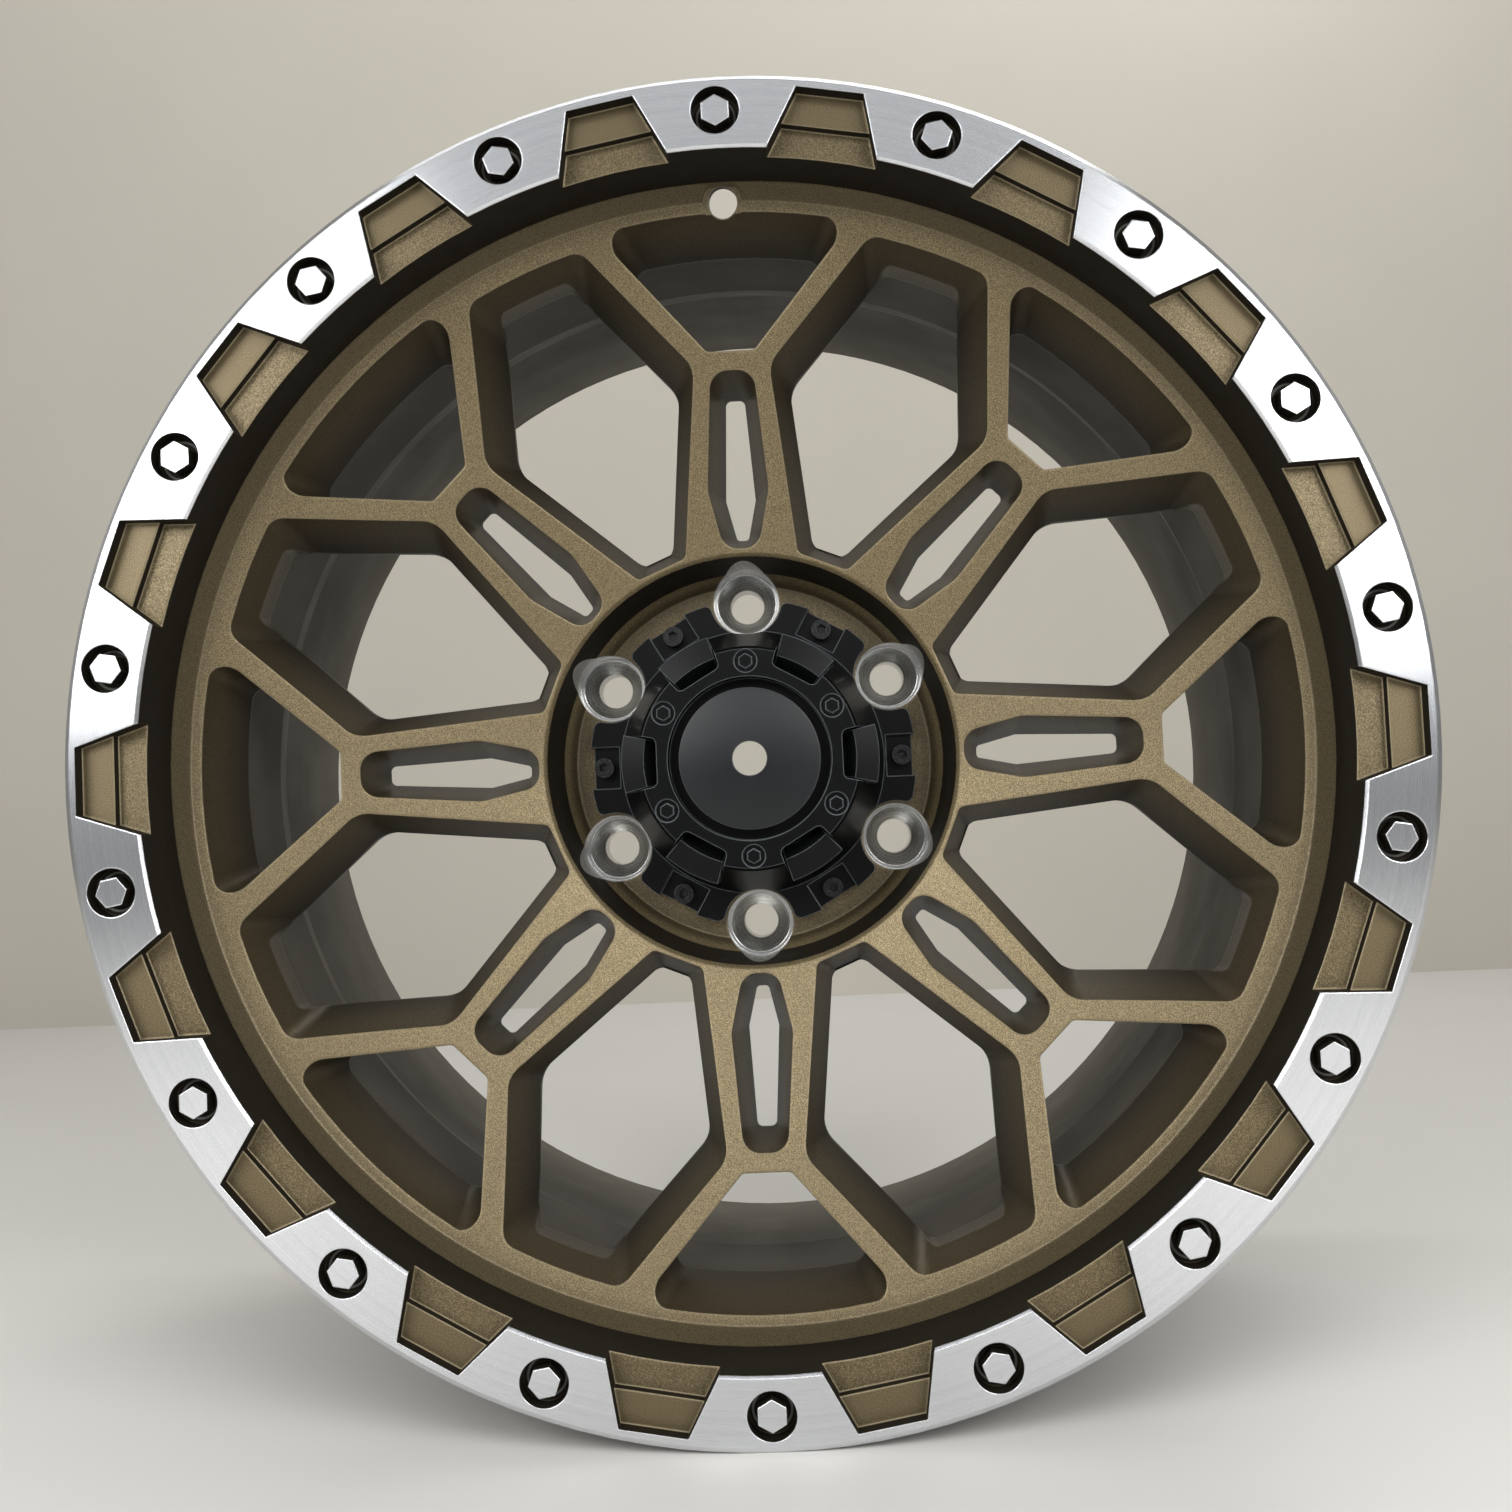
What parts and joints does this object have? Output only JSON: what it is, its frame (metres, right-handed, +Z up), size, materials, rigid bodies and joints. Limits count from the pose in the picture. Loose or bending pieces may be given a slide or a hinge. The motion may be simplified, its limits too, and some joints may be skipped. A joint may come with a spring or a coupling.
{
  "type": "alloy wheel",
  "caption": "Cast alloy car wheel with forked spokes, a stepped lip with imitation bolt heads, conical lug seats and a screwed-on centre cap; a tyre fits its rim.",
  "frame": {"origin": "on the wheel's axis, midway between the two flanges", "axes": "+Y along the axis, from the face to the back; +Z up through a spoke and the valve hole; +X to the right as one looks at the face"},
  "size_m": [0.4979, 0.253, 0.498],
  "materials": {
    "wheel": "satin bronze paint with a bright turned lip and dark barrel",
    "centre_cap": "satin black moulded plastic",
    "cap_screws": "black oxide steel"
  },
  "bodies": {
    "root": {"wheel": "wheel", "centre_cap": "centre_cap", "cap_screws": "cap_screws"}
  },
  "joints": []
}
